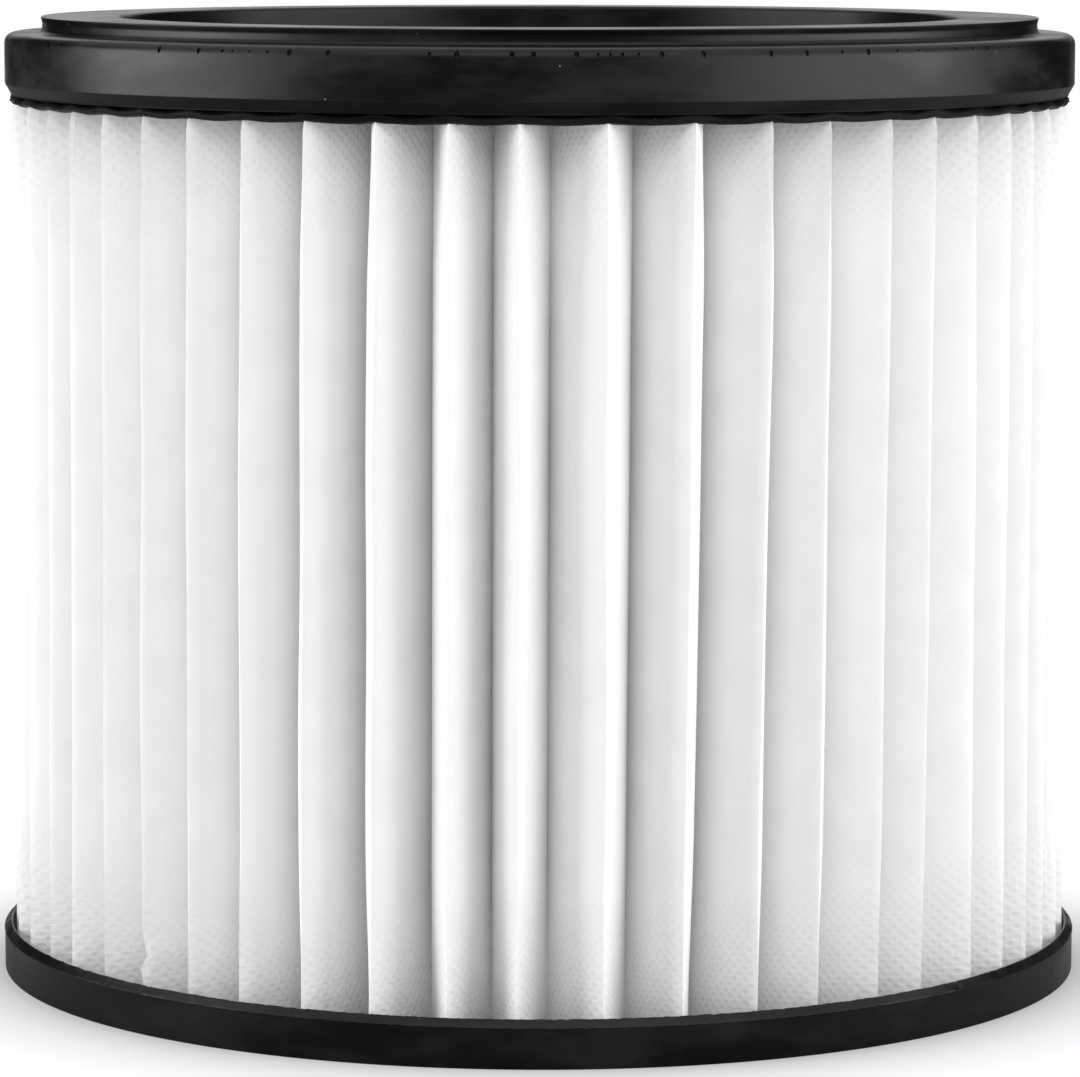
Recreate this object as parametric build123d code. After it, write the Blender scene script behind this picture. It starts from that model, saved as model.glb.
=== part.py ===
from build123d import *
import os
from math import atan2, cos, pi, sin, tan

# Pleated cartridge filter of a wet and dry vacuum cleaner, standing on its lower ring.
# Millimetres, +Z up along the filter's axis, origin at the middle of the lower face.

# Driving dimensions
overall_height = 170.0
bore_radius = 75.0
edge_ease = 0.6

flange_overhang = 1.2
flange_height = 10.8
flange_top_round = 1.8
flange_bevel_height = 2.0
collar_inset = 6.6
collar_height = 2.8
skirt_height = 1.7
skirt_cover = 0.2
lobe_drop = 0.8

ring_lip_height = 8.3
ring_bevel_height = 1.3
ring_lip_gap = 1.2
ring_lip_width = 1.6
ring_bed_height = 4.5

pleat_count = 50
pleat_turn = 2.4
pleat_depth = 14.74
pleat_tip_flat = 1.0
medium_thickness = 0.7
top_potting_depth = 7.0
bottom_potting_depth = 2.5

cage_setback = 0.6
cage_wall = 1.5
cage_sides = 20
cage_rows = 4
cage_rib = 6.0
cage_hoop = 5.0
cage_end_band = 6.0
cage_to_pleat_clearance = 0.3

# Levels along the axis
flange_top = overall_height - collar_height
flange_bottom = flange_top - flange_height
skirt_bottom = flange_bottom - skirt_height
potted_top = skirt_bottom + top_potting_depth
potted_bottom = ring_bed_height - bottom_potting_depth
potted_height = potted_top - potted_bottom

# Radii that follow from the seats
half_pitch = pi / pleat_count
cage_flat_radius = bore_radius + cage_setback + cage_wall
cage_corner_radius = cage_flat_radius / cos(pi / cage_sides)
root_inner_radius = cage_corner_radius + cage_to_pleat_clearance
valley_radius = root_inner_radius + medium_thickness
pleat_tip_radius = valley_radius + pleat_depth
skirt_radius = pleat_tip_radius + skirt_cover
flange_radius = pleat_tip_radius + flange_overhang
collar_radius = flange_radius - collar_inset
lip_inner_radius = pleat_tip_radius + ring_lip_gap
ring_radius = lip_inner_radius + ring_lip_width


def turned(outline):
    """A ring turned about the axis from (radius, height, edge bevel) corners."""
    section = make_face(Polyline(*[(r, z) for r, z, _ in outline], close=True))
    for r, z, bevel in outline:
        if bevel:
            corner = section.vertices().sort_by_distance((r, z, 0))[0]
            section = chamfer(corner, bevel)
    return revolve(Plane.XZ * section, Axis.Z)


def swung(point, angle):
    """A plan point swung clockwise about the filter's axis."""
    x, y = point
    return (x * cos(angle) + y * sin(angle), y * cos(angle) - x * sin(angle))


def flank_points():
    """The ends of one flank's two faces in plan, for a pleat whose tip lies on +Y.

    The outer face runs from the edge of the blunt tip to the sharp valley.
    The inner face lies one thickness behind it, from the crease to the narrow flat behind the valley.
    """
    tip = (pleat_tip_flat / 2, pleat_tip_radius)
    valley = swung((0, valley_radius), half_pitch)
    lean = atan2(valley[0] - tip[0], tip[1] - valley[1])
    inner_reach = tip[0] * cos(lean) + tip[1] * sin(lean) - medium_thickness
    crease = (0, inner_reach / sin(lean))
    root_lean = lean + half_pitch
    root_side = (inner_reach - root_inner_radius * sin(root_lean)) / cos(root_lean)
    root = swung((root_side, root_inner_radius), half_pitch)
    return tip, valley, crease, root


def pleat_outlines():
    """The plan inside the sheet's outer face and the plan inside its inner face."""
    tip, valley, crease, root = flank_points()
    outer = []
    inner = []
    for k in range(pleat_count):
        turn = 2 * half_pitch * k
        outer += [swung(point, turn) for point in ((-tip[0], tip[1]), tip, valley)]
        inner += [swung(point, turn) for point in ((-root[0], root[1]), crease, root)]
    plans = [make_face(Polyline(*points, close=True)) for points in (outer, inner)]
    return [Rot(0, 0, -pleat_turn) * plan for plan in plans]


def pleated_medium(outer_plan, inner_plan):
    """The folded sheet: one closed band of pleats, its two ends cast into the end caps."""
    return Pos(0, 0, potted_bottom) * extrude(outer_plan - inner_plan, potted_height)


def support_cage():
    """A moulded tube of flat sides with rows of windows, which holds the pleats open under suction."""
    turn_to_flat = 180 / cage_sides
    outer = RegularPolygon(cage_flat_radius, cage_sides, major_radius=False, rotation=turn_to_flat)
    tube = extrude(outer - offset(outer, -cage_wall), potted_height)
    window_floor = ring_lip_height + cage_end_band
    window_ceiling = skirt_bottom - cage_end_band
    row_pitch = (window_ceiling - window_floor + cage_hoop) / cage_rows
    side_width = 2 * cage_flat_radius * tan(pi / cage_sides)
    window = Box(3 * cage_wall, side_width - cage_rib, row_pitch - cage_hoop)
    windows = []
    for row in range(cage_rows):
        middle = window_floor - cage_hoop / 2 + row_pitch * (row + 0.5)
        for side in range(cage_sides):
            facing = Rot(0, 0, 360 * side / cage_sides)
            windows.append(facing * Pos(cage_flat_radius - cage_wall / 2, 0, middle) * window)
    return Pos(0, 0, potted_bottom) * tube - windows


def valley_lobes(outer_plan):
    """The rounded beads of cast resin that hang from the upper cap, one in each valley."""
    half_width = skirt_radius * tan(half_pitch)
    upper_left = (-half_width, skirt_height / 2)
    upper_right = (half_width, skirt_height / 2)
    block = Polyline((half_width, 0), upper_right, upper_left, (-half_width, 0))
    belly = ThreePointArc((-half_width, 0), (0, -lobe_drop), (half_width, 0))
    bar = extrude(Plane.XZ * make_face([block, belly]), skirt_radius, dir=(0, 1, 0))
    pitch_deg = 360 / pleat_count
    bar = Rot(0, 0, pitch_deg / 2 - pleat_turn) * Pos(0, 0, skirt_bottom) * bar
    skirt = Pos(0, 0, skirt_bottom) * Cylinder(skirt_radius, 2 * skirt_height)
    pleats = Pos(0, 0, skirt_bottom - skirt_height) * extrude(outer_plan, 2 * skirt_height)
    lobe = (bar & skirt) - pleats
    return [Rot(0, 0, pitch_deg * k) * lobe for k in range(pleat_count)]


def top_end_cap(outer_plan, medium, cage):
    """The upper cap: a wide flange, a raised collar with the bore, and beads between the pleats."""
    shoulder = flange_top_round * (1 - cos(pi / 4))
    cap = turned(
        [
            (bore_radius, skirt_bottom, 0),
            (skirt_radius, skirt_bottom, 0),
            (skirt_radius, flange_bottom, 0),
            (flange_radius, flange_bottom + flange_bevel_height, 0),
            (flange_radius, flange_top - flange_top_round, 0),
            (flange_radius - shoulder, flange_top - shoulder, 0),
            (flange_radius - flange_top_round, flange_top, 0),
            (collar_radius, flange_top, 0),
            (collar_radius, overall_height, edge_ease),
            (bore_radius, overall_height, edge_ease),
        ]
    )
    return cap + valley_lobes(outer_plan) - medium - cage


def bottom_end_cap(medium, cage):
    """The lower ring: a flat foot, a bed for the pleats and a bevelled lip that stands round them."""
    ring = turned(
        [
            (bore_radius, 0, 0),
            (ring_radius, 0, 0),
            (ring_radius, ring_lip_height - ring_bevel_height, 0),
            (lip_inner_radius, ring_lip_height, 0),
            (lip_inner_radius, ring_bed_height, 0),
            (bore_radius, ring_bed_height, 0),
        ]
    )
    return ring - medium - cage


outer_plan, inner_plan = pleat_outlines()
medium = pleated_medium(outer_plan, inner_plan)
cage = support_cage()
pieces = {
    "pleated_medium": medium,
    "support_cage": cage,
    "top_end_cap": top_end_cap(outer_plan, medium, cage),
    "bottom_end_cap": bottom_end_cap(medium, cage),
}

os.makedirs("parts", exist_ok=True)
for name, piece in pieces.items():
    export_step(piece, f"parts/{name}.step")
    print(name, "volume", round(piece.volume / 1000, 1), "cm3", "faces", len(piece.faces()))
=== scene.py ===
# %% [markdown]
# # Dressing a pleated vacuum filter
#
# The CAD frame gives four solids in one place: two cast end caps, the folded filter cloth and a
# plastic cage inside it. The CAD keeps them plain, with flat pleats and sharp corners.
# In this lesson each one gets the shape and finish of the real piece, at the size that the CAD
# fixed.

# %% Load the frame
import math
import random

import bpy
from mathutils import Matrix, Vector, noise


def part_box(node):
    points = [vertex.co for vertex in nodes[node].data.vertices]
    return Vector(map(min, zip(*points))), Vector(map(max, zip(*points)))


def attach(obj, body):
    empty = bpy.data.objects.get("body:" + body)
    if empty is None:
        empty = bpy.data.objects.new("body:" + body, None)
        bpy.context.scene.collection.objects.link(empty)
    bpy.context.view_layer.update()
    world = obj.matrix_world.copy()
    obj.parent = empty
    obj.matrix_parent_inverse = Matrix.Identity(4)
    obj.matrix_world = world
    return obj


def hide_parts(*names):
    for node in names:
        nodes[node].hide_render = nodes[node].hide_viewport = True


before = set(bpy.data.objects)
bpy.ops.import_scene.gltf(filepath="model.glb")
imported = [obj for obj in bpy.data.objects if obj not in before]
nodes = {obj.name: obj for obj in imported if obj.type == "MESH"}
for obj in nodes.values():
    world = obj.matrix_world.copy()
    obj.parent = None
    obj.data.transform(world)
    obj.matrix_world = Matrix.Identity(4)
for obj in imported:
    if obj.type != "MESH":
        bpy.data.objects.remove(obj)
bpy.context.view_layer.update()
MM = 0.001
print("CAD nodes:", sorted(nodes))

# %% [markdown]
# ## Sizes
#
# Blender never decides a size here. The main radii and levels are measured on the CAD solids, so a
# change in the source moves the dressed pieces too. Small steps between them, such as the collar's
# height, repeat the source's values. Lengths are kept in millimetres until a mesh is made.

# %% Measure the solids


def reach(name):
    """Smallest and largest distance of a solid from the filter's axis, in millimetres."""
    far = [vertex.co.xy.length / MM for vertex in nodes[name].data.vertices]
    return min(far), max(far)


def levels(name):
    """Lowest and highest level of a solid, in millimetres."""
    low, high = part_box(name)
    return low.z / MM, high.z / MM


bore_radius, flange_radius = reach("top_end_cap")
ring_radius = reach("bottom_end_cap")[1]
cloth_root, cloth_tip = reach("pleated_medium")
cloth_low, cloth_high = levels("pleated_medium")
beads_low, cap_top = levels("top_end_cap")
lip_top = levels("bottom_end_cap")[1]
print(f"flange {flange_radius:.2f} mm, ring {ring_radius:.2f} mm")
print(f"pleats from {cloth_root:.2f} to {cloth_tip:.2f} mm")

# %% [markdown]
# ## Where the pleats stand
#
# A folding machine sets the pleats evenly, but the worker who closes the strip into a band pushes
# some of them aside and a little out of plumb. Angles count from the front, to the right. The tips
# that face the viewer have the angle and the lean of the real ones, from foot to head, in degrees.
# The rest share what is left of the turn. The valleys lie halfway between the tips, but for one
# near the middle that is pushed to the left. The caps need the same angles for their beads.

# %% Pleat angles
pleat_count = 50
front_tips = (
    (-63.9, 0.5), (-58.2, 0.5), (-51.6, 0.1), (-45.2, 0.6), (-38.5, 0.1),
    (-31.7, 0.5), (-24.4, 0.4), (-16.8, 0.6), (-9.15, 0.2), (-2.1, 0.3),
    (6.65, 0.35), (15.15, 1.2), (23.25, 1.6), (30.05, 1.3), (37.8, 1.4),
    (43.95, 1.8), (51.5, 0.3), (58.1, 0.7), (64.0, 0.8), (69.8, 0.8),
)
back_lean = 0.6
leaning_gap = 9
gap_shift = -1.1

tips = [angle for angle, _ in front_tips]
leans = [lean for _, lean in front_tips]
back_step = (tips[0] + 360 - tips[-1]) / (pleat_count + 1 - len(tips))
while len(tips) < pleat_count:
    tips.append(tips[-1] + back_step)
    leans.append(back_lean)
tips = [tips[-1] - 360] + tips + [tips[0] + 360]
leans = [leans[-1]] + leans + [leans[0]]
valleys = [(a + b) / 2 for a, b in zip(tips, tips[1:])]
valleys[leaning_gap + 1] += gap_shift
valley_leans = [(a + b) / 2 for a, b in zip(leans, leans[1:])]
pleat_steps = [b - a for a, b in zip(tips, tips[1:])]
print(f"{pleat_count} pleats, {min(pleat_steps):.1f} to {max(pleat_steps):.1f} degrees apart")


def spot(angle, radius, level):
    """The point at an angle from the front, a radius and a level in millimetres, in metres."""
    turn = math.radians(angle)
    return Vector((radius * math.sin(turn), -radius * math.cos(turn), level)) * MM


# %% [markdown]
# ## Helpers for modelling
#
# An operator acts on all that is selected, so each new piece starts with nothing selected.
# A cast ring is an outline turned about the axis: a circle of as many points as the outline has,
# each moved to its place, and then Spin. Rounded corners are put into the outline first, which
# keeps the faces even, where a Bevel on the finished ring would make many more.

# %% Modelling helpers
same_point = 0.002 * MM


def start_fresh():
    """Deselect everything, the CAD solids too."""
    bpy.ops.object.select_all(action="DESELECT")


def named(name):
    """Name the new active object and its mesh."""
    piece = bpy.context.object
    piece.name = name
    piece.data.name = name
    return piece


def edit(piece):
    """Open a piece in edit mode with all of it selected."""
    start_fresh()
    piece.select_set(True)
    bpy.context.view_layer.objects.active = piece
    bpy.ops.object.mode_set(mode="EDIT")
    bpy.ops.mesh.select_all(action="SELECT")


def close_edit():
    bpy.ops.object.mode_set(mode="OBJECT")


def apply_modifier(piece, kind, **settings):
    """Add a modifier, set it and apply it."""
    modifier = piece.modifiers.new(kind.lower(), kind)
    for key, value in settings.items():
        setattr(modifier, key, value)
    start_fresh()
    piece.select_set(True)
    bpy.context.view_layer.objects.active = piece
    bpy.ops.object.modifier_apply(modifier=modifier.name)


def smooth(piece, degrees):
    """Shade smooth, with edges sharper than this left as edges."""
    start_fresh()
    piece.select_set(True)
    bpy.context.view_layer.objects.active = piece
    bpy.ops.object.shade_smooth_by_angle(angle=math.radians(degrees))


def rounded(corners, arc_steps=5):
    """An outline from (radius, level, rounding) corners, with an arc at each rounded one."""
    points = []
    for i, (r, z, rounding) in enumerate(corners):
        here = Vector((r, z))
        if not rounding:
            points.append(here)
            continue
        to_before = (Vector(corners[i - 1][:2]) - here).normalized()
        to_after = (Vector(corners[(i + 1) % len(corners)][:2]) - here).normalized()
        half = to_before.angle(to_after) / 2
        centre = here + (to_before + to_after).normalized() * rounding / math.sin(half)
        spoke = here + to_before * rounding / math.tan(half) - centre
        last = here + to_after * rounding / math.tan(half) - centre
        sweep = spoke.angle_signed(last)
        for j in range(arc_steps + 1):
            points.append(centre + Matrix.Rotation(-sweep * j / arc_steps, 2) @ spoke)
    return points


def turned_ring(name, outline, steps):
    """Turn a closed outline once round the filter's axis."""
    start_fresh()
    bpy.ops.mesh.primitive_circle_add(vertices=len(outline), radius=bore_radius * MM)
    piece = named(name)
    for vertex, (r, z) in zip(piece.data.vertices, outline):
        vertex.co = (r * MM, 0, z * MM)
    edit(piece)
    bpy.ops.mesh.spin(steps=steps, angle=2 * math.pi, center=(0, 0, 0), axis=(0, 0, 1))
    bpy.ops.mesh.select_all(action="SELECT")
    bpy.ops.mesh.remove_doubles(threshold=same_point)
    bpy.ops.mesh.normals_make_consistent(inside=False)
    close_edit()
    print(name, len(piece.data.polygons), "faces")
    return piece


# %% [markdown]
# ## The filter cloth
#
# The cloth is one strip of embossed non-woven, folded into fifty pleats and closed into a band.
# It could be extruded from a star outline, but then every pleat would be a stiff twin of the next.
# Here it starts as the flat strip, a grid, and each of its points is moved to where the fold takes
# it. So the strip keeps a flat map, its UV, for the embossing to follow.
#
# Across a pleat the fold is a soft arch: a round tip, shoulders that swell, and flanks that meet in
# a sharp valley. The swelling is fullest at half height, because the cast caps hold the ends.

# %% Sizes of a pleat
across = (0.0, 0.05, 0.11, 0.19, 0.29, 0.40, 0.52, 0.64, 0.76, 0.87, 0.94, 1.0)
half_steps = len(across) - 1
columns = pleat_count * 2 * half_steps
rows = 44
cloth_thickness = 0.7
valley_radius = cloth_root + cloth_thickness
cloth_height = cloth_high - cloth_low
row_crowding = 0.09
held_zone = 28.0
foot_flare = 0.7
tight_arch = 1.3
full_arch = 1.75
soft_valley = 0.3
crease = 0.17
tuck = 0.6
tuck_height = 1.5
sway_limit = 0.25
arch_change = 0.22
tip_change = 0.22

# %% [markdown]
# One tip at the lower left was crushed while the filter was handled. Around its level the tip sways
# and its radius wanders, which leaves a dent with a ragged edge.

# %% The crushed tip
flaw_tip = -45.2
flaw_level = 13.0
flaw_spread = 4.5
flaw_sway = 1.6
flaw_swell = 2.2
flaw_dent = 0.5


def crush(level, step):
    """How far the crushed tip sways, in degrees, and swells, in millimetres."""
    crumple = math.exp(-(((level - flaw_level) / flaw_spread) ** 2))
    sideways = flaw_sway * crumple * noise.noise(Vector((level * 0.45, 0.0, 3.0)))
    lump = flaw_swell * noise.noise(Vector((level * 0.4, step * 0.5, 8.0)))
    return sideways, crumple * (lump - flaw_dent)


# %% [markdown]
# Now the fold itself: one function says where each point of the strip goes.

# %% Fold the strip point by point


def level_of(row):
    """Rows lie closer near the caps, where the arch changes most."""
    share = row / rows
    return cloth_low + cloth_height * (share - row_crowding * math.sin(2 * math.pi * share))


def swelling(level):
    """0 at the caps and 1 over the free middle of a pleat."""
    from_end = min(level - lip_top, beads_low - level) / held_zone
    eased = max(0.0, min(1.0, from_end))
    return eased * eased * (3 - 2 * eased)


def fold_point(column, row):
    """Where a point of the flat strip lies once it is folded."""
    pleat, step = divmod(column, 2 * half_steps)
    level = level_of(row)
    share = (level - cloth_low) / cloth_height
    if pleat == pleat_count:
        pleat, step = pleat_count - 1, 2 * half_steps
    rising = step <= half_steps
    side = across[half_steps - step] if rising else across[step - half_steps]
    tip = tips[pleat + 1]
    gap = pleat if rising else pleat + 1
    valley = valleys[gap]
    lean = leans[pleat + 1] + side * (valley_leans[gap] - leans[pleat + 1])
    seed = Vector((pleat * 3.7, level / 40, 0.0))
    sway = sway_limit * swelling(level) * noise.noise(seed)
    arch = tight_arch + (full_arch - tight_arch) * swelling(level)
    arch += arch_change * noise.noise(seed + Vector((0, 0, 9.1 if rising else 21.7)))
    tip_radius = cloth_tip + foot_flare * (1 - share)
    tip_radius += tip_change * noise.noise(seed + Vector((0, 0, 5.3)))
    tip_radius -= tuck * max(0.0, min(1.0, (level - beads_low) / tuck_height))
    if abs(tip - flaw_tip) < 1:
        sideways, swell = crush(level, step)
        sway += sideways
        tip_radius += swell
    sink = side**arch * (1 + soft_valley * (1 - side))
    depth = (tip_radius - valley_radius) * sink
    depth += crease * min(1.0, side / across[2]) * (1 - side)
    angle = tip + side * (valley - tip) + sway * (1 - side) + lean * (share - 0.5)
    return spot(angle, tip_radius - depth, level)


start_fresh()
bpy.ops.mesh.primitive_grid_add(x_subdivisions=columns, y_subdivisions=rows, size=1)
cloth = named("pleated_cloth")
places = [
    (round((vertex.co.x + 0.5) * columns), round((vertex.co.y + 0.5) * rows))
    for vertex in cloth.data.vertices
]
for vertex, (column, row) in zip(cloth.data.vertices, places):
    vertex.co = fold_point(column, row)
print(columns, "by", rows, "steps of cloth")

# %% [markdown]
# The flat length of the strip is measured along the fold at half height. The UV map holds each
# point's place on the flat strip, as a share of that length and of the strip's width.

# %% Lay the flat map
middle = [fold_point(column, rows // 2) for column in range(columns + 1)]
along = [0.0]
for before, after in zip(middle, middle[1:]):
    along.append(along[-1] + (after - before).length)
flat_length = along[-1]
flat_width = cloth_height * MM
flat_map = cloth.data.uv_layers.active.data
for loop, place in zip(cloth.data.loops, flat_map):
    column, row = places[loop.vertex_index]
    place.uv = (along[column] / flat_length, (level_of(row) - cloth_low) / cloth_height)
print(f"strip {flat_length:.3f} m by {flat_width:.4f} m")

# %% [markdown]
# The band's two ends are merged, its faces are turned outwards, and Solidify gives the cloth its
# thickness towards the inside, so that the outer face stays where it was folded.

# %% Close the band and thicken it
edit(cloth)
bpy.ops.mesh.remove_doubles(threshold=same_point)
bpy.ops.mesh.normals_make_consistent(inside=False)
close_edit()
outward = sum(face.normal.xy.dot(face.center.xy) * face.area for face in cloth.data.polygons)
if outward < 0:
    edit(cloth)
    bpy.ops.mesh.flip_normals()
    close_edit()
apply_modifier(cloth, "SOLIDIFY", thickness=cloth_thickness * MM, offset=-1)
cloth_crease = 50
smooth(cloth, cloth_crease)
print("cloth", len(cloth.data.polygons), "faces")

# %% [markdown]
# ## The upper cap
#
# The cap is cast in black polyurethane in an open mould. Its outline has a wide flange with a round
# upper edge, a bevel below with a thin fin of flash, and a collar with a hollow neck and a crisp
# rim. The outline is turned in many steps, so that the rim's edge stays smooth in a close view.

# %% Turn the upper cap
collar_height = 2.8
flange_height = 10.8
skirt_height = 1.7
collar_inset = 6.6
skirt_radius = 92.3
flange_top = cap_top - collar_height
flange_bottom = flange_top - flange_height
cap_underside = flange_bottom - skirt_height
collar_radius = flange_radius - collar_inset
cap_corners = [
    (bore_radius, cap_underside, 0),
    (skirt_radius - 0.3, cap_underside, 0),
    (skirt_radius, flange_bottom - 0.25, 0.2),
    (flange_radius - 1.15, flange_bottom - 0.1, 0.1),
    (flange_radius - 1.0, flange_bottom + 0.02, 0.05),
    (flange_radius - 1.08, flange_bottom + 0.12, 0),
    (flange_radius, flange_bottom + 2.0, 0.45),
    (flange_radius, flange_top, 1.75),
    (collar_radius, flange_top, 0.9),
    (collar_radius - 0.12, flange_top + 1.7, 1.2),
    (collar_radius + 0.18, cap_top, 0.16),
    (bore_radius, cap_top, 0.6),
]
cap_steps = 480
cast_crease = 32
cap = turned_ring("upper_cap", rounded(cap_corners), cap_steps)

# %% [markdown]
# Air that was trapped in the mould leaves pinholes along the round edge of the flange. Each is
# cut by a small stretched sphere. Those at the front stand where they show on the real cap, and
# the rest of the edge gets more of them, strewn by a seeded draw.

# %% Cut the pinholes
wide_pits = (
    -41.5, -36.2, -25.4, -21.2, -8.1, -2.7, -0.6, 3.6, 12.0, 16.2, 23.3, 27.3, 34.6
)
small_pits = (
    -33.2, -32.0, -30.0, -27.9, -10.8, 5.7, 6.9, 8.1, 9.7,
    31.4, 38.4, 41.3, 46.9, 49.7, 52.2, 56.5, 59.8
)
pit_count = 82
unseen_edge = (65, 312)
draw = random.Random(7)
wide_size = (0.42, 0.52)
small_size = (0.24, 0.30)
unseen_sizes = (0.22, 0.26, 0.30, 0.45)
pit_spacing = 1.0
pits = [(angle, draw.uniform(*wide_size)) for angle in wide_pits]
pits += [(angle, draw.uniform(*small_size)) for angle in small_pits]
while len(pits) < pit_count:
    angle = draw.uniform(*unseen_edge)
    if all(abs(angle - other) > pit_spacing for other, _ in pits):
        pits.append((angle, draw.choice(unseen_sizes)))


def strewn_balls(name, balls, detail):
    """One object of many small balls, each (place, radius, stretch along the axis)."""
    made = []
    for place, radius, stretch in balls:
        bpy.ops.mesh.primitive_ico_sphere_add(
            subdivisions=detail, radius=radius * MM, location=place
        )
        bpy.context.object.scale.z = stretch
        made.append(bpy.context.object)
    start_fresh()
    for ball in made:
        ball.select_set(True)
    bpy.context.view_layer.objects.active = made[0]
    bpy.ops.object.join()
    bpy.ops.object.transform_apply(location=True, rotation=True, scale=True)
    return named(name)


start_fresh()
pit_level = flange_top - 1.15
pit_radius = flange_radius - 0.3
pit_stretch = 1.5
pit_balls = [(spot(angle, pit_radius, pit_level), size, pit_stretch) for angle, size in pits]
cutter = strewn_balls("pit_cutter", pit_balls, 2)
apply_modifier(cap, "BOOLEAN", operation="DIFFERENCE", object=cutter, solver="EXACT")
bpy.data.objects.remove(cutter)
smooth(cap, cast_crease)
print("cap with", len(pits), "pinholes,", len(cap.data.polygons), "faces")

# %% [markdown]
# ## The beads under the flange
#
# While the cap was cast, resin crept a little between the pleats and set as a row of beads. Each
# bead hangs lowest midway between two tips and rises towards the flange at the tips. A torus is the
# right start: it is already a closed ring, and each of its points is moved by how far it lies from
# the nearest tip.

# %% Shape the beads
bead_steps = 1500
bead_sides = 12
bead_radius = 92.9
bead_thickness = 2.0
start_fresh()
bpy.ops.mesh.primitive_torus_add(
    major_segments=bead_steps,
    minor_segments=bead_sides,
    major_radius=bead_radius * MM,
    minor_radius=bead_thickness / 2 * MM,
)
beads = named("resin_beads")
share_at_beads = 0.48
bead_drop = 0.52
bead_sag = 0.66
bead_roundness = 0.8
wide_at_tip = 1.2
narrower_between = 0.12
high_at_tip = 0.95
lower_between = 0.29
crumbly = 0.07
crumbly_at_tip = 0.16
edges = [angle + lean * share_at_beads for angle, lean in zip(tips, leans)]


def between_tips(angle):
    """0 at a pleat's tip and 1 midway to the next one."""
    for left, right in zip(edges, edges[1:]):
        if left <= angle <= right:
            return math.sin(math.pi * (angle - left) / (right - left))
    return between_tips(angle - 360 if angle > edges[-1] else angle + 360)


for vertex in beads.data.vertices:
    angle = math.degrees(math.atan2(vertex.co.x, -vertex.co.y))
    full = between_tips(angle) ** bead_roundness
    outward = vertex.co.xy.length / MM - bead_radius
    upward = vertex.co.z / MM
    rough = noise.fractal(Vector((angle * 2.1, outward, upward * 2)), 1.0, 2.0, 3)
    crumb = (crumbly + crumbly_at_tip * (1 - full)) * rough
    middle_level = flange_bottom - bead_drop - bead_sag * full
    wide = wide_at_tip - narrower_between * full
    high = high_at_tip - lower_between * full
    radius = bead_radius + outward * wide + crumb
    vertex.co = spot(angle, radius, middle_level + upward * high + crumb)

# %% [markdown]
# Crumbs of set resin cling to the beads where they meet the tips. One small ball is made per crumb,
# each with its own place and size, and all of them are joined to the beads.

# %% Add crumbs to the beads
crumbs_per_tip = (2, 3, 4)
crumb_size = (0.09, 0.22)
crumb_flatness = (0.6, 1.0)
crumb_scatter = 0.7


def crumbs_along(angles, radius, level, spread):
    """Places and sizes of crumbs near some angles, about a radius and a level."""
    strewn = []
    for angle in angles:
        for _ in range(draw.choice(crumbs_per_tip)):
            size = draw.uniform(*crumb_size)
            beside = angle + draw.gauss(0, crumb_scatter)
            place = spot(beside, radius - size / 2, level + draw.uniform(-spread, spread))
            strewn.append((place, size, draw.uniform(*crumb_flatness)))
    return strewn


def join_to(piece, extra):
    """Join another object into a piece."""
    start_fresh()
    extra.select_set(True)
    piece.select_set(True)
    bpy.context.view_layer.objects.active = piece
    bpy.ops.object.join()


start_fresh()
crumb_radius = 94.1
crumb_level = flange_bottom - 0.75
crumb_spread = 0.6
crumbs = crumbs_along(edges[1:-1], crumb_radius, crumb_level, crumb_spread)
join_to(beads, strewn_balls("bead_crumbs", crumbs, 1))
bead_crease = 60
smooth(beads, bead_crease)
print("beads", len(beads.data.polygons), "faces")

# %% [markdown]
# ## The lower ring
#
# The ring is cast the same way, with the pleats standing in it. Its lip ends in a bevel with a
# ragged line of flash, where the mould was overfilled, and its foot has a crisp edge.

# %% Turn the lower ring
bed_level = 4.5
lip_inner = cloth_tip + 1.2
ring_wall = ring_radius - 0.12
ring_steps = 900
flash_from = lip_top - 1.55
ragged_out = 0.07
ragged_up = 0.14
ring_corners = [
    (bore_radius, 0, 0.3),
    (ring_wall, 0, 0.18),
    (ring_wall, lip_top - 2.2, 0),
    (ring_wall, lip_top - 1.5, 0.12),
    (ring_radius - 0.02, lip_top - 1.38, 0.05),
    (ring_radius - 0.14, lip_top - 1.2, 0),
    (lip_inner + 0.25, lip_top, 0.2),
    (lip_inner, lip_top - 0.3, 0.1),
    (lip_inner - 0.2, bed_level, 0.5),
    (bore_radius, bed_level, 0.4),
]
ring = turned_ring("lower_ring", rounded(ring_corners, 4), ring_steps)
for vertex in ring.data.vertices:
    level = vertex.co.z / MM
    radius = vertex.co.xy.length / MM
    if level > flash_from and radius > lip_inner + 0.1:
        angle = math.degrees(math.atan2(vertex.co.x, -vertex.co.y))
        ragged = noise.fractal(Vector((angle * 1.6, level, 3.0)), 0.7, 2.0, 4)
        out_to = min(radius + ragged_out * ragged, ring_radius)
        vertex.co = spot(angle, out_to, level + ragged_up * ragged)
smooth(ring, cast_crease)

# %% [markdown]
# ## The cage
#
# The cage is an injection moulding with rows of windows. Its CAD solid already has the right
# shape, so a copy of its mesh is merged into whole faces, and Bevel rounds the edges as a mould
# does. The copy stands for the solid.

# %% Round the cage's edges
cage = bpy.data.objects.new("cage_tube", nodes["support_cage"].data.copy())
bpy.context.scene.collection.objects.link(cage)
edit(cage)
bpy.ops.mesh.remove_doubles(threshold=same_point)
bpy.ops.mesh.dissolve_limited(angle_limit=math.radians(1))
close_edit()
cage_round = 0.3
cage_crease = 40
apply_modifier(
    cage,
    "BEVEL",
    width=cage_round * MM,
    segments=2,
    limit_method="ANGLE",
    angle_limit=math.radians(cage_crease),
)
smooth(cage, cage_crease)
print("cage", len(cage.data.polygons), "faces")

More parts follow.
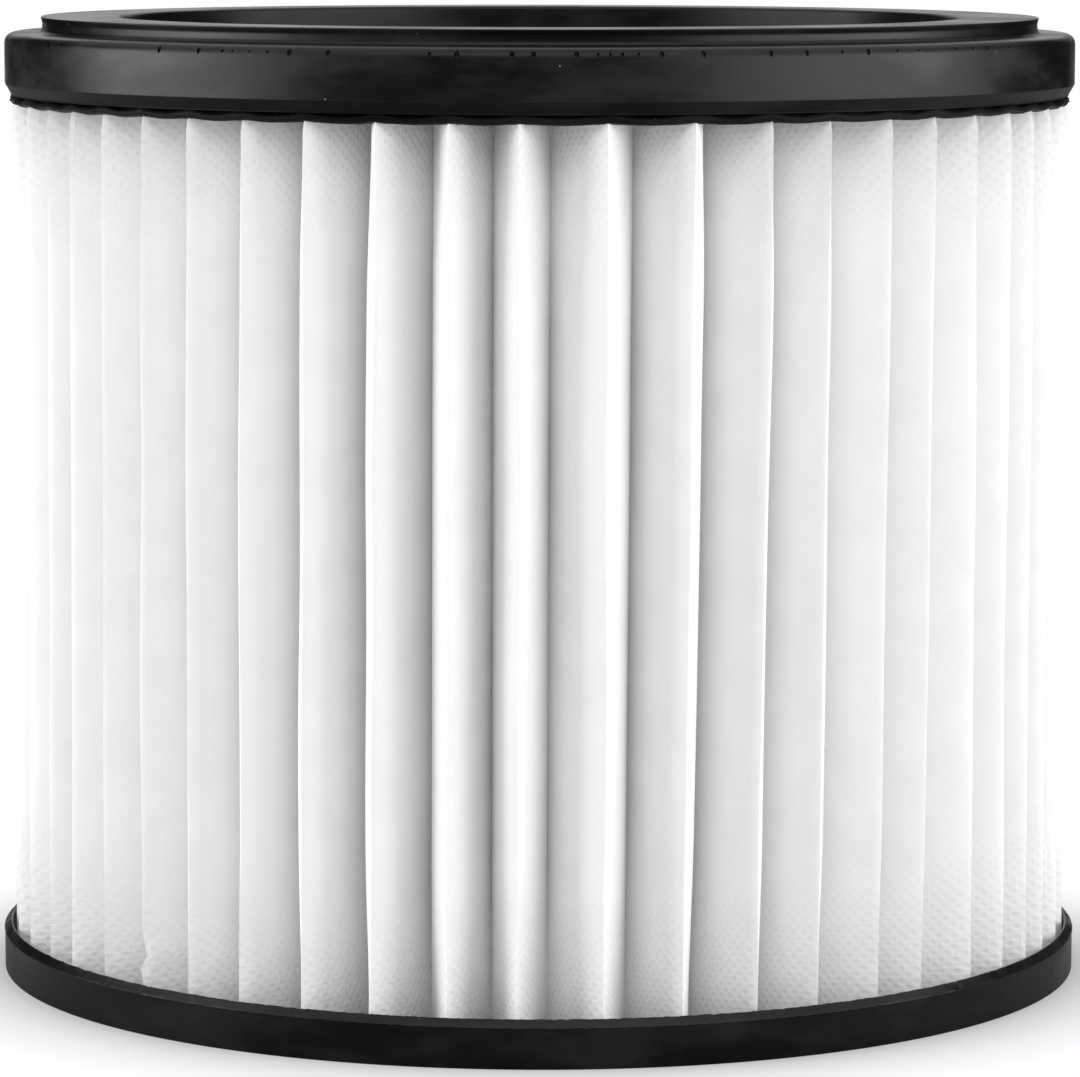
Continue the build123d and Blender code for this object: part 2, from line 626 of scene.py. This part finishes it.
# %% [markdown]
# ## Finishes
#
# Each finish is a node tree on one Principled shader. Values that are the same all over are set
# on the shader itself. Patterns read Object coordinates, except the cloth's dots, which follow its
# flat map.

# %% Material helpers


class Finish:
    """A material on one Principled shader, and the nodes that feed it."""

    def __init__(self, name, **sockets):
        self.material = bpy.data.materials.new(name)
        self.material.use_nodes = True
        self.tree = self.material.node_tree
        self.shader = self.tree.nodes["Principled BSDF"]
        for key, value in sockets.items():
            self.shader.inputs[key.replace("_", " ")].default_value = value

    def node(self, kind, links=(), **settings):
        """Add a node, set its properties, and link or set its inputs by number."""
        made = self.tree.nodes.new("ShaderNode" + kind)
        for key, value in settings.items():
            setattr(made, key, value)
        for index, value in dict(links).items():
            if isinstance(value, bpy.types.NodeSocket):
                self.tree.links.new(value, made.inputs[index])
            else:
                made.inputs[index].default_value = value
        return made

    def math(self, operation, a, b=0.0):
        return self.node("Math", {0: a, 1: b}, operation=operation).outputs[0]

    def vector(self, operation, a, b=(0.0, 0.0, 0.0)):
        return self.node("VectorMath", {0: a, 1: b}, operation=operation).outputs[0]

    def length(self, a):
        return self.node("VectorMath", {0: a}, operation="LENGTH").outputs["Value"]

    def mapped(self, where, **settings):
        """Coordinates scaled or turned by a Mapping node."""
        return self.node("Mapping", {"Vector": where, **settings}).outputs[0]

    def noise(self, where, scale, detail=3.0, rough=0.5):
        links = {"Vector": where, "Scale": scale, "Detail": detail, "Roughness": rough}
        return self.node("TexNoise", links).outputs[0]

    def ramp(self, value, low, high, start=0.0, end=1.0):
        """Carry a value from low..high to start..end, held at both ends."""
        links = {"Value": value, 1: low, 2: high, 3: start, 4: end}
        return self.node("MapRange", links, interpolation_type="SMOOTHSTEP").outputs[0]

    def blend(self, share, dark, light):
        """A colour between two colours."""
        return self.cover(share, (*dark, 1), light)

    def cover(self, share, under, tint):
        """A tint laid over a colour or a colour output."""
        links = {"Factor": share, 6: under, 7: (*tint, 1)}
        return self.node("Mix", links, data_type="RGBA").outputs[2]

    def feed(self, socket, value):
        self.tree.links.new(value, self.shader.inputs[socket])

    def bump(self, height, depth, under=None):
        """A bump of a depth in millimetres, laid over another one."""
        links = {"Height": height, "Distance": depth * MM, "Strength": 1.0}
        if under is not None:
            links["Normal"] = under
        return self.node("Bump", links).outputs[0]

    def wear(self, piece):
        piece.data.materials.clear()
        piece.data.materials.append(self.material)


# %% [markdown]
# The cloth is white spun polyester. A heated roller presses rows of dots into it, about 1.4 mm
# apart and set on a slant, and the fibres leave a fine felt between them. The dots are less than
# a tenth of a millimetre deep, so bump shows them, with painted shade, a grey laid in their
# hollows; both follow the flat map. They are plain near the caps and faint over the free middle
# of the pleats, and the painted shade is strongest near the caps, where the caps shade the cloth.

# %% Embossed white cloth
dot_pitch = 1.45
dot_slant = 40
dot_depth = 0.06
felt_depth = 0.03
faintest = 0.12
spun = Finish("embossed_cloth", Roughness=0.92, Specular_IOR_Level=0.2)
flat_place = spun.node("TexCoord").outputs["UV"]
dots_wide = flat_length / (dot_pitch * MM)
dots_high = flat_width / (dot_pitch * MM)
lattice = spun.mapped(flat_place, Scale=(dots_wide, dots_high, 1))
slanted = spun.mapped(lattice, Rotation=(0, 0, math.radians(dot_slant)))
cell = spun.vector("FRACTION", slanted)
to_dot = spun.length(spun.vector("SUBTRACT", cell, (0.5, 0.5, 0.0)))
dot = spun.ramp(to_dot, 0.16, 0.42)
place = spun.node("TexCoord").outputs["Object"]
felt = spun.noise(place, 1400.0, 2.0, 0.6)
clouds = spun.noise(place, 120.0, 3.0, 0.5)
share_up = spun.node("SeparateXYZ", {0: flat_place}).outputs[1]
from_middle = spun.math("ABSOLUTE", spun.math("SUBTRACT", share_up, 0.5))
near_end = spun.ramp(from_middle, 0.28, 0.46, faintest, 1.0)
pressed = spun.bump(spun.math("MULTIPLY", dot, near_end), dot_depth)
spun.feed("Normal", spun.bump(felt, felt_depth, pressed))
cloudy = spun.blend(spun.ramp(clouds, 0.3, 0.7), (0.88, 0.88, 0.875), (0.91, 0.91, 0.905))
# Painted shade: the dots' hollows are greyed, most near the caps, where the caps shade the cloth.
tint = spun.math("MULTIPLY", near_end, 0.3)
painted_dot_shade = spun.math("MULTIPLY", spun.math("SUBTRACT", 1.0, dot), tint)
spun.feed("Base Color", spun.cover(painted_dot_shade, cloudy, (0.80, 0.80, 0.80)))
spun.wear(cloth)

# %% [markdown]
# The caps are satin black polyurethane. The mould's release wax leaves a cloudy gloss, so the
# roughness wanders, and a few pale specks of dust cling to it. The sides that set against air, the
# beads, the bevel above them and the lower ring, are duller, so they get less gloss.

# %% Cast black resin


def resin_finish(name, gloss, smoothest):
    """Black resin with cloudy gloss, fine grain and specks of dust."""
    finish = Finish(name, Specular_IOR_Level=gloss)
    place = finish.node("TexCoord").outputs["Object"]
    haze = finish.noise(finish.mapped(place, Scale=(1.0, 1.0, 3.0)), 40.0, 5.0, 0.62)
    swirl = finish.noise(place, 160.0, 3.0, 0.5)
    grain = finish.noise(place, 900.0, 2.0, 0.6)
    finish.feed("Roughness", finish.ramp(haze, 0.35, 0.65, smoothest, smoothest + 0.13))
    cloudy = finish.ramp(haze, 0.38, 0.72)
    worn = finish.blend(cloudy, (0.002, 0.002, 0.0021), (0.011, 0.011, 0.0114))
    scatter = finish.node("TexVoronoi", {"Vector": place, "Scale": 260.0})
    speck = finish.ramp(scatter.outputs["Distance"], 0.02, 0.045, 1.0, 0.0)
    draw_of_cell = finish.node("SeparateColor", {0: scatter.outputs["Color"]}).outputs[0]
    dust = finish.math("MULTIPLY", speck, finish.ramp(draw_of_cell, 0.78, 0.80))
    finish.feed("Base Color", finish.cover(dust, worn, (0.22, 0.22, 0.215)))
    finish.feed("Normal", finish.bump(grain, 0.010, finish.bump(swirl, 0.05)))
    return finish


resin = resin_finish("cast_resin", gloss=0.25, smoothest=0.33)
dull = resin_finish("dull_resin", gloss=0.07, smoothest=0.45)
resin.wear(cap)
cap.data.materials.append(dull.material)
for face in cap.data.polygons:
    faces_down = face.normal.z < -0.25
    face.material_index = 1 if faces_down else 0
dull.wear(beads)
dull.wear(ring)
ring.data.materials.append(resin.material)
for face in ring.data.polygons:
    on_lip = face.center.xy.length > lip_inner * MM and face.normal.z > 0.3
    face.material_index = 1 if on_lip else 0
print("finishes", resin.material.name, "and", dull.material.name)

# %% [markdown]
# The cage is moulded in black polypropylene with a fine spark-eroded texture.

# %% Moulded black plastic
moulded = Finish("moulded_plastic", Roughness=0.5)
place = moulded.node("TexCoord").outputs["Object"]
texture = moulded.noise(place, 1100.0, 3.0, 0.6)
flow = moulded.noise(place, 60.0, 3.0, 0.5)
moulded.feed("Normal", moulded.bump(texture, 0.02))
moulded.feed("Base Color", moulded.blend(flow, (0.02, 0.02, 0.021), (0.032, 0.032, 0.033)))
moulded.wear(cage)

# %% [markdown]
# ## Hang the pieces on the frame
#
# Each piece rides on the root body's empty, and the CAD solid that it stands for is hidden. The
# list also names a material slot for each piece, which nothing here uses.

# %% Tie the pieces to the CAD
for piece, node, slot in (
    (cloth, "pleated_medium", "filter_cloth"),
    (cap, "top_end_cap", "cast_resin"),
    (beads, None, "cast_resin"),
    (ring, "bottom_end_cap", "cast_resin"),
    (cage, "support_cage", "cage_plastic"),
):
    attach(piece, "root")
    if node:
        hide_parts(node)

# %% [markdown]
# ## Floor, light and camera
#
# A product like this is shot on white between two low softboxes, with a wide, dim one above the
# camera and the room behind it dark. The black caps mirror the side softboxes as two soft bands.
# The floor takes the filter's shadow near its foot and fades to white around it.

# %% Pale floor
start_fresh()
bpy.ops.mesh.primitive_circle_add(vertices=128, radius=0.75, fill_type="NGON")
floor = named("pale_floor")
floor_grey = (0.6, 0.6, 0.6, 1)
fade_from = 0.085
fade_to = 0.125
paint = Finish("pale_floor", Base_Color=floor_grey, Roughness=0.9, Specular_IOR_Level=0.0)
from_axis = paint.length(paint.node("TexCoord").outputs["Object"])
faded = paint.ramp(from_axis, fade_from, fade_to)


def seen_directly(finish):
    """1 for rays that show the background: to the camera, in a gloss or through glass."""
    ray = finish.node("LightPath").outputs
    total = finish.math("ADD", ray["Is Camera Ray"], ray["Is Glossy Ray"])
    return finish.math("MINIMUM", finish.math("ADD", total, ray["Is Transmission Ray"]), 1.0)


white = paint.node("Emission", {"Color": (1, 1, 1, 1), "Strength": 1.0}).outputs[0]
share = paint.math("MULTIPLY", faded, seen_directly(paint))
floor_out = paint.tree.nodes["Material Output"]
floor_mix = paint.node("MixShader", {0: share, 1: paint.shader.outputs[0], 2: white})
paint.tree.links.new(floor_mix.outputs[0], floor_out.inputs[0])
paint.wear(floor)

# %% [markdown]
# The lamps are area lights, which give the soft edges of a softbox. They could be bright panels
# of mesh instead, but an area light makes far less noise in a short render.

# %% Studio light
scene = bpy.context.scene
scene.view_settings.view_transform = "Standard"
aim = Vector((0, 0, 0.09))


def softbox(name, angle, distance, level, wide, high, watts):
    """An area lamp that faces the middle of the filter, with lengths in metres."""
    lamp = bpy.data.lights.new(name, "AREA")
    lamp.shape = "RECTANGLE"
    lamp.size = wide
    lamp.size_y = high
    lamp.energy = watts
    stand = bpy.data.objects.new(name, lamp)
    scene.collection.objects.link(stand)
    stand.location = spot(angle, distance / MM, level / MM)
    towards = aim - stand.location
    stand.rotation_euler = towards.to_track_quat("-Z", "Y").to_euler()
    print(name, watts, "W")


softbox("left_softbox", -80, distance=0.75, level=0.22, wide=0.60, high=0.32, watts=3.4)
softbox("right_softbox", 66, distance=0.75, level=0.22, wide=0.80, high=0.32, watts=3.2)
softbox("front_fill", 0, distance=1.1, level=1.0, wide=1.4, high=0.8, watts=5.2)

# %% [markdown]
# The world is white where it is seen, directly or in a gloss, and softer where it only lights.
# Black flags stand round the set, one behind the camera and one at each side of the backdrop, as
# a photographer puts them so that a black piece stays black. They show in reflections only.

# %% White world and black flags
room_light = 0.60


class Sky(Finish):
    """A world's node tree, built with the same node helpers."""

    def __init__(self, name):
        self.world = bpy.data.worlds.new(name)
        self.world.use_nodes = True
        self.tree = self.world.node_tree
        self.tree.nodes.clear()


sky = Sky("white_studio")
scene.world = sky.world
seen = sky.node("Background", {"Color": (1, 1, 1, 1), "Strength": 1.0}).outputs[0]
lit = sky.node("Background", {"Color": (1, 1, 1, 1), "Strength": room_light}).outputs[0]
mixed = sky.node("MixShader", {0: seen_directly(sky), 1: lit, 2: seen}).outputs[0]
sky.node("OutputWorld", {0: mixed})

flag_sectors = ((-58, 34), (106, 160), (-160, -106))
start_fresh()
bpy.ops.mesh.primitive_cylinder_add(
    vertices=120, radius=1.3, depth=1.5, location=(0, 0, 0.25), end_fill_type="NOTHING"
)
flags = named("black_flags")
bpy.ops.object.transform_apply(location=True)
edit(flags)
bpy.ops.mesh.select_mode(type="FACE")
bpy.ops.mesh.select_all(action="DESELECT")
close_edit()
for face in flags.data.polygons:
    angle = math.degrees(math.atan2(face.center.x, -face.center.y))
    face.select = not any(low <= angle <= high for low, high in flag_sectors)
bpy.ops.object.mode_set(mode="EDIT")
bpy.ops.mesh.delete(type="FACE")
close_edit()
flag_black = (0.004, 0.004, 0.004, 1)
flag_cloth = Finish("flag_cloth", Base_Color=flag_black, Roughness=1.0, Specular_IOR_Level=0.0)
flag_cloth.wear(flags)
flags.visible_camera = False
flags.visible_diffuse = False
flags.visible_shadow = False
print("flags", len(flags.data.polygons), "faces")

# %% [markdown]
# The camera stands about a metre away with a long lens and looks down a little. Its place and lens
# were fitted to the edges of the caps, with the CAD's sizes held.

# %% Camera
look_down = 6.934
roll = -0.00145
lens_data = bpy.data.cameras.new("shop_camera")
lens_data.lens = 180.14
lens_data.sensor_width = 36
lens_data.sensor_fit = "HORIZONTAL"
camera = bpy.data.objects.new("shop_camera", lens_data)
scene.collection.objects.link(camera)
camera.location = (0, -0.9669, 0.1938)
camera.rotation_euler = (math.radians(90 - look_down), roll, 0)
scene.camera = camera
print("camera lens", lens_data.lens, "mm")
